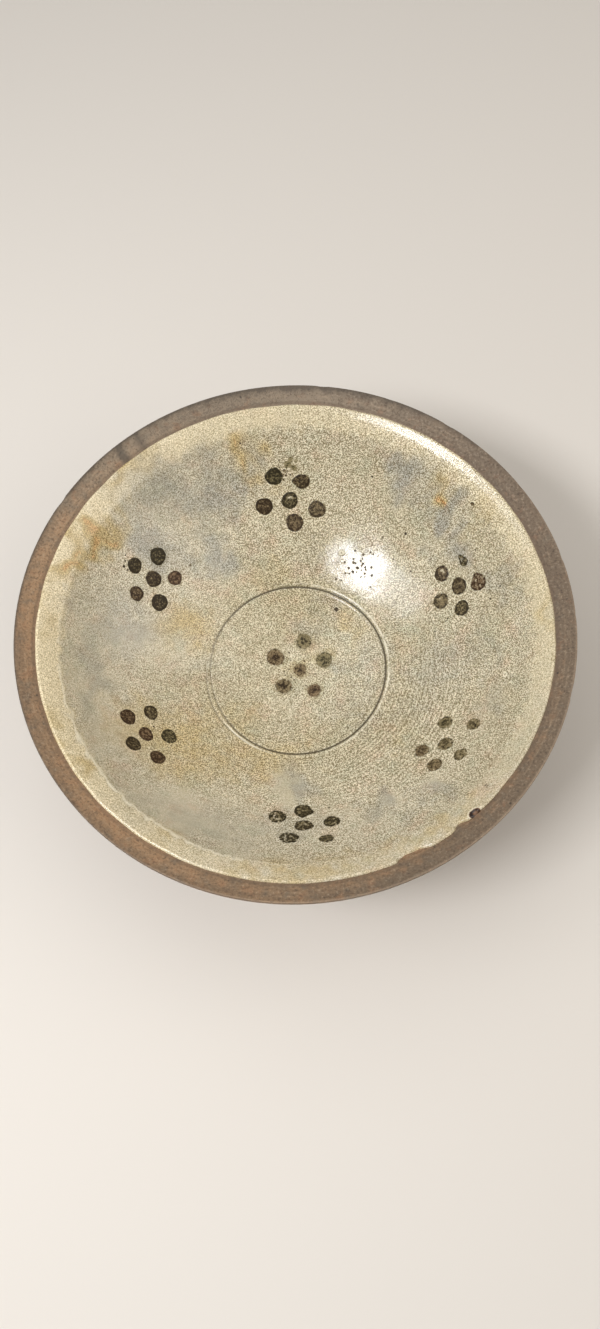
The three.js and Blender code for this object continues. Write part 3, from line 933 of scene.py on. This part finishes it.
def iron_material():
    """Iron oxide, brushed on and melted into the glaze: nearly black where it lies thick, and a
    thin olive or red brown where the glaze shows through."""
    material, tree, where = new_material("brushed_iron_oxide")
    base, relief, fine, _ = glaze_colour(tree, where)
    kept = read_values(tree, "cover film streak warm")
    crust = add(tree, "TexNoise", {"Vector": where, "Scale": per_mm(1.5), "Detail": 3, "Roughness": 0.7})
    crust = add(tree, "Math", {0: crust, 1: 0.5}, operation="SUBTRACT")
    grain = add(tree, "Math", {0: fine, 1: 0.5}, operation="SUBTRACT")
    swing = add(tree, "Math", {0: kept["streak"], 1: 3.8, 2: 2.8}, operation="MULTIPLY_ADD")
    torn = add(tree, "Math", {0: crust, 1: kept["streak"]}, operation="MULTIPLY")
    film = kept["film"]
    for unevenness, amount in ((crust, swing), (grain, 2.0)):
        film = add(tree, "Math", {0: unevenness, 1: amount, 2: film}, operation="MULTIPLY_ADD")
    reach = kept["cover"]
    for unevenness, amount in ((crust, 1.2), (torn, 3.0), (grain, 1.5)):
        reach = add(tree, "Math", {0: unevenness, 1: amount, 2: reach}, operation="MULTIPLY_ADD")
    held = add(tree, "Math", {0: reach, 1: kept["cover"]}, operation="MULTIPLY")
    thick = layered(tree, colour("#292312"), [(kept["warm"], 0, 1, 1, "#352213")])
    thin = layered(tree, colour("#877b58"), [(kept["warm"], 0, 1, 1, "#83694f")])
    iron = layered(tree, thin, [(film, 0.1, 1.1, 1, thick)])
    base = layered(tree, base, [(held, 0.08, 0.6, 1, iron)])
    crusted = add(tree, "Math", {0: crust, 1: kept["cover"]}, operation="MULTIPLY")
    relief = add(tree, "Math", {0: crusted, 1: 1.2, 2: relief}, operation="MULTIPLY_ADD")
    roughness = add(tree, "MapRange", {"Value": fine, 1: 0.35, 2: 0.65, 3: 0.42, 4: 0.28})
    finish_material(tree, base, roughness, relief, 0.4, {"IOR": 1.45, "Specular IOR Level": 0.22})
    return material


def clay_material():
    """Iron-bearing stoneware, thrown, bare and toasted by the flame: matt to satin, flashed red
    on the side that faced the fire and grey-brown on the other, with fine lines dragged round by
    the thrower's hand, coarse grit, and paler clay where the foot was trimmed. The rim's outer
    corner is painted lighter on the near right and darker on the far left, as light and shade, and
    a dark line of painted shade runs along the glaze's edge."""
    material, tree, where = new_material("toasted_bare_stoneware")
    kept = read_values(tree, "flashed smudge worn charred bare_foot seam ashen")
    broad, blotch, grit = [
        add(tree, "TexNoise", {"Vector": where, "Scale": per_mm(size), "Detail": detail, "Roughness": rough})
        for size, detail, rough in ((24, 5, 0.6), (7, 5, 0.65), (1.3, 3, 0.7))
    ]
    height = add(tree, "SeparateXYZ", {0: where}, "Z")
    wander = add(tree, "Math", {0: broad, 1: 0.012}, operation="MULTIPLY")
    section = add(tree, "CombineXYZ", {0: axis_distance(tree, where), 1: height, 2: wander})
    drag = add(tree, "TexNoise", {"Vector": section, "Scale": per_mm(1.6), "Detail": 3, "Roughness": 0.6})
    specks = scattered_specks(tree, where, 5, 0.16, 0.08, 0.68)

    uneven = add(tree, "Math", {0: blotch, 1: 0.5}, operation="SUBTRACT")
    broken = {
        name: add(tree, "Math", {0: uneven, 1: amount, 2: kept[name]}, operation="MULTIPLY_ADD")
        for name, amount in (("flashed", 1.6), ("charred", 2.2), ("smudge", 0.7))
    }
    smudge = add(tree, "Math", {0: broken["smudge"], 1: kept["smudge"]}, operation="MULTIPLY")
    peppered = add(tree, "Math", {0: grit, 1: kept["ashen"]}, operation="MULTIPLY")
    base = layered(tree, colour("#625240"), [
        (broad, 0, 1, 1, "#76634d"),
        (broken["flashed"], 0.2, 1.1, 0.85, "#9c7a57"),
        (kept["ashen"], 0.1, 1, 0.65, "#978771"),
        (blotch, 0.56, 0.68, 0.45, "#8d6446"),
        (blotch, 0.44, 0.32, 0.4, "#6a6152"),
        (drag, 0.5, 0.3, 0.4, "#5c4a38"),
        (drag, 0.55, 0.75, 0.35, "#a58d70"),
        (kept["bare_foot"], 0.2, 0.9, 0.6, "#a78c6c"),
        (grit, 0.48, 0.32, 0.7, "#42342a"),
        (grit, 0.56, 0.72, 0.45, "#ad9980"),
        (peppered, 0.47, 0.58, 0.6, "#3f342a"),
        # Painted shade on the rim's outer corner away from the light, and real char along the far side's
        # outer band.
        (broken["charred"], 0.3, 0.9, 0.75, "#43392d"),
        (smudge, 0.05, 0.7, 0.75, "#4a4136"),
        (specks, 0, 1, 0.8, "#2d231b"),
        # Painted shade along the glaze's edge.
        (kept["seam"], 0.2, 1, 0.35, "#5e4a37"),
        # Painted highlight on the rim's outer corner on the lit side, and real wear on the foot's standing
        # ring.
        (kept["worn"], 0.3, 1, 0.45, "#a8937a"),
    ])
    relief = add(tree, "Math", {0: drag, 1: 0.7, 2: grit}, operation="MULTIPLY_ADD")
    roughness = add(tree, "MapRange", {"Value": grit, 1: 0.3, 2: 0.7, 3: 0.75, 4: 0.52})
    finish_material(tree, base, roughness, relief, 0.5, {"IOR": 1.5})
    return material


# -------------------- light, floor and camera

# The camera: millimetres and degrees.
LENS = 27.09
SENSOR_WIDTH = 36.0
CAMERA_ELEVATION = 68.56
CAMERA_DISTANCE = 505.7
CAMERA_ROLL = -2.46
CAMERA_AIM = (1.9, -26.3, RIM_HEIGHT)

# The room, in metres.
FLOOR_HALF = 6.0
WINDOW_RUN = (-0.70, 0.68, -0.22)
WINDOW_AIM = (0.048, 0.045, 0.02)
BOWL_MIDDLE = (0, 0, 0.05)


def camera():
    """Looks down into the dish from in front, with the short lens of a hand-held camera."""
    data = bpy.data.cameras.new("camera")
    data.lens = LENS
    data.sensor_width = SENSOR_WIDTH
    view = new_object("camera", data)
    elevation = math.radians(CAMERA_ELEVATION)
    back = Vector((0, -math.cos(elevation), math.sin(elevation)))
    view.location = (Vector(CAMERA_AIM) + back * CAMERA_DISTANCE) * MM
    view.rotation_mode = "QUATERNION"
    roll = Quaternion(back, math.radians(CAMERA_ROLL))
    view.rotation_quaternion = roll @ (-back).to_track_quat("-Z", "Y")
    bpy.context.scene.camera = view


def lamp(name, at, toward, size, watts, tint, along=(1, 0, 0)):
    """A flat soft lamp at a place, facing another, in metres. Its first size runs along a heading."""
    data = bpy.data.lights.new(name, "AREA")
    data.shape = "RECTANGLE"
    data.size, data.size_y = size
    data.energy = watts
    data.color = colour(tint)[:3]
    made = new_object(name, data)
    made.location = at
    back = (Vector(at) - Vector(toward)).normalized()
    side = Vector(along)
    side = (side - back * side.dot(back)).normalized()
    made.rotation_mode = "QUATERNION"
    made.rotation_quaternion = Matrix((side, back.cross(side), back)).transposed().to_quaternion()


def studio():
    """Soft white light all round, a window of two panes on the left, a pale ceiling and wall, and a
    floor of pale paper."""
    world = bpy.data.worlds.new("studio")
    world.use_nodes = True
    background = world.node_tree.nodes["Background"]
    background.inputs["Color"].default_value = colour("#ffffff")
    background.inputs["Strength"].default_value = 0.38
    bpy.context.scene.world = world
    lamp("window", (-0.478, -0.310, 0.910), WINDOW_AIM, (0.345, 0.23), 6.6, "#f8faff", WINDOW_RUN)
    lamp("pane", (-0.705, -0.053, 0.809), WINDOW_AIM, (0.34, 0.24), 1.4, "#f8faff", WINDOW_RUN)
    lamp("ceiling", (-0.35, 0.55, 1.45), BOWL_MIDDLE, (1.1, 1.1), 3.8, "#ffffff")
    lamp("bounce", (1.1, -0.1, 1.0), BOWL_MIDDLE, (1.4, 1.4), 7.6, "#fff8f0")
    mesh = bpy.data.meshes.new("floor")
    corners = [(FLOOR_HALF * x, FLOOR_HALF * y, 0) for x, y in ((-1, -1), (1, -1), (1, 1), (-1, 1))]
    mesh.from_pydata(corners, [], [(0, 1, 2, 3)])
    material, tree, _ = new_material("pale_matt_paper")
    paper = add(tree, "BsdfPrincipled", {"Base Color": colour("#d9d2c8"), "Roughness": 0.9})
    add(tree, "OutputMaterial", {"Surface": paper})
    mesh.materials.append(material)
    new_object("floor", mesh)
    bpy.context.scene.view_settings.view_transform = "Standard"


# -------------------- putting it together


def put(piece, material, slot, *nodes):
    """Gives a piece its material, hangs it from the root, and hides the nodes of the frame that it
    stands for. The slot is not used.
    """
    piece.data.materials.append(material)
    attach(piece, "root")
    if nodes:
        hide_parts(*nodes)


camera()
studio()
body_grid, body_values = body_surface()
body = closed_turns("thrown_body", [body_grid], [body_values])
put(body, clay_material(), "clay", "stoneware_body")
coat_grid = glaze_grid()
coat_values = surface_values(coat_grid[..., 0], coat_grid[..., 1])
coat = closed_turns("ash_glaze_coat", [coat_grid], [coat_values])
put(coat, ash_glaze_material(), "glaze", "interior_glaze")
iron = iron_material()
dab_nodes = sorted(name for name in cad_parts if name.startswith("iron_dab_"))
for number, node in enumerate(dab_nodes):
    put(iron_dab(node, number), iron, "iron", node)
put(iron_splashes(), iron, "iron")
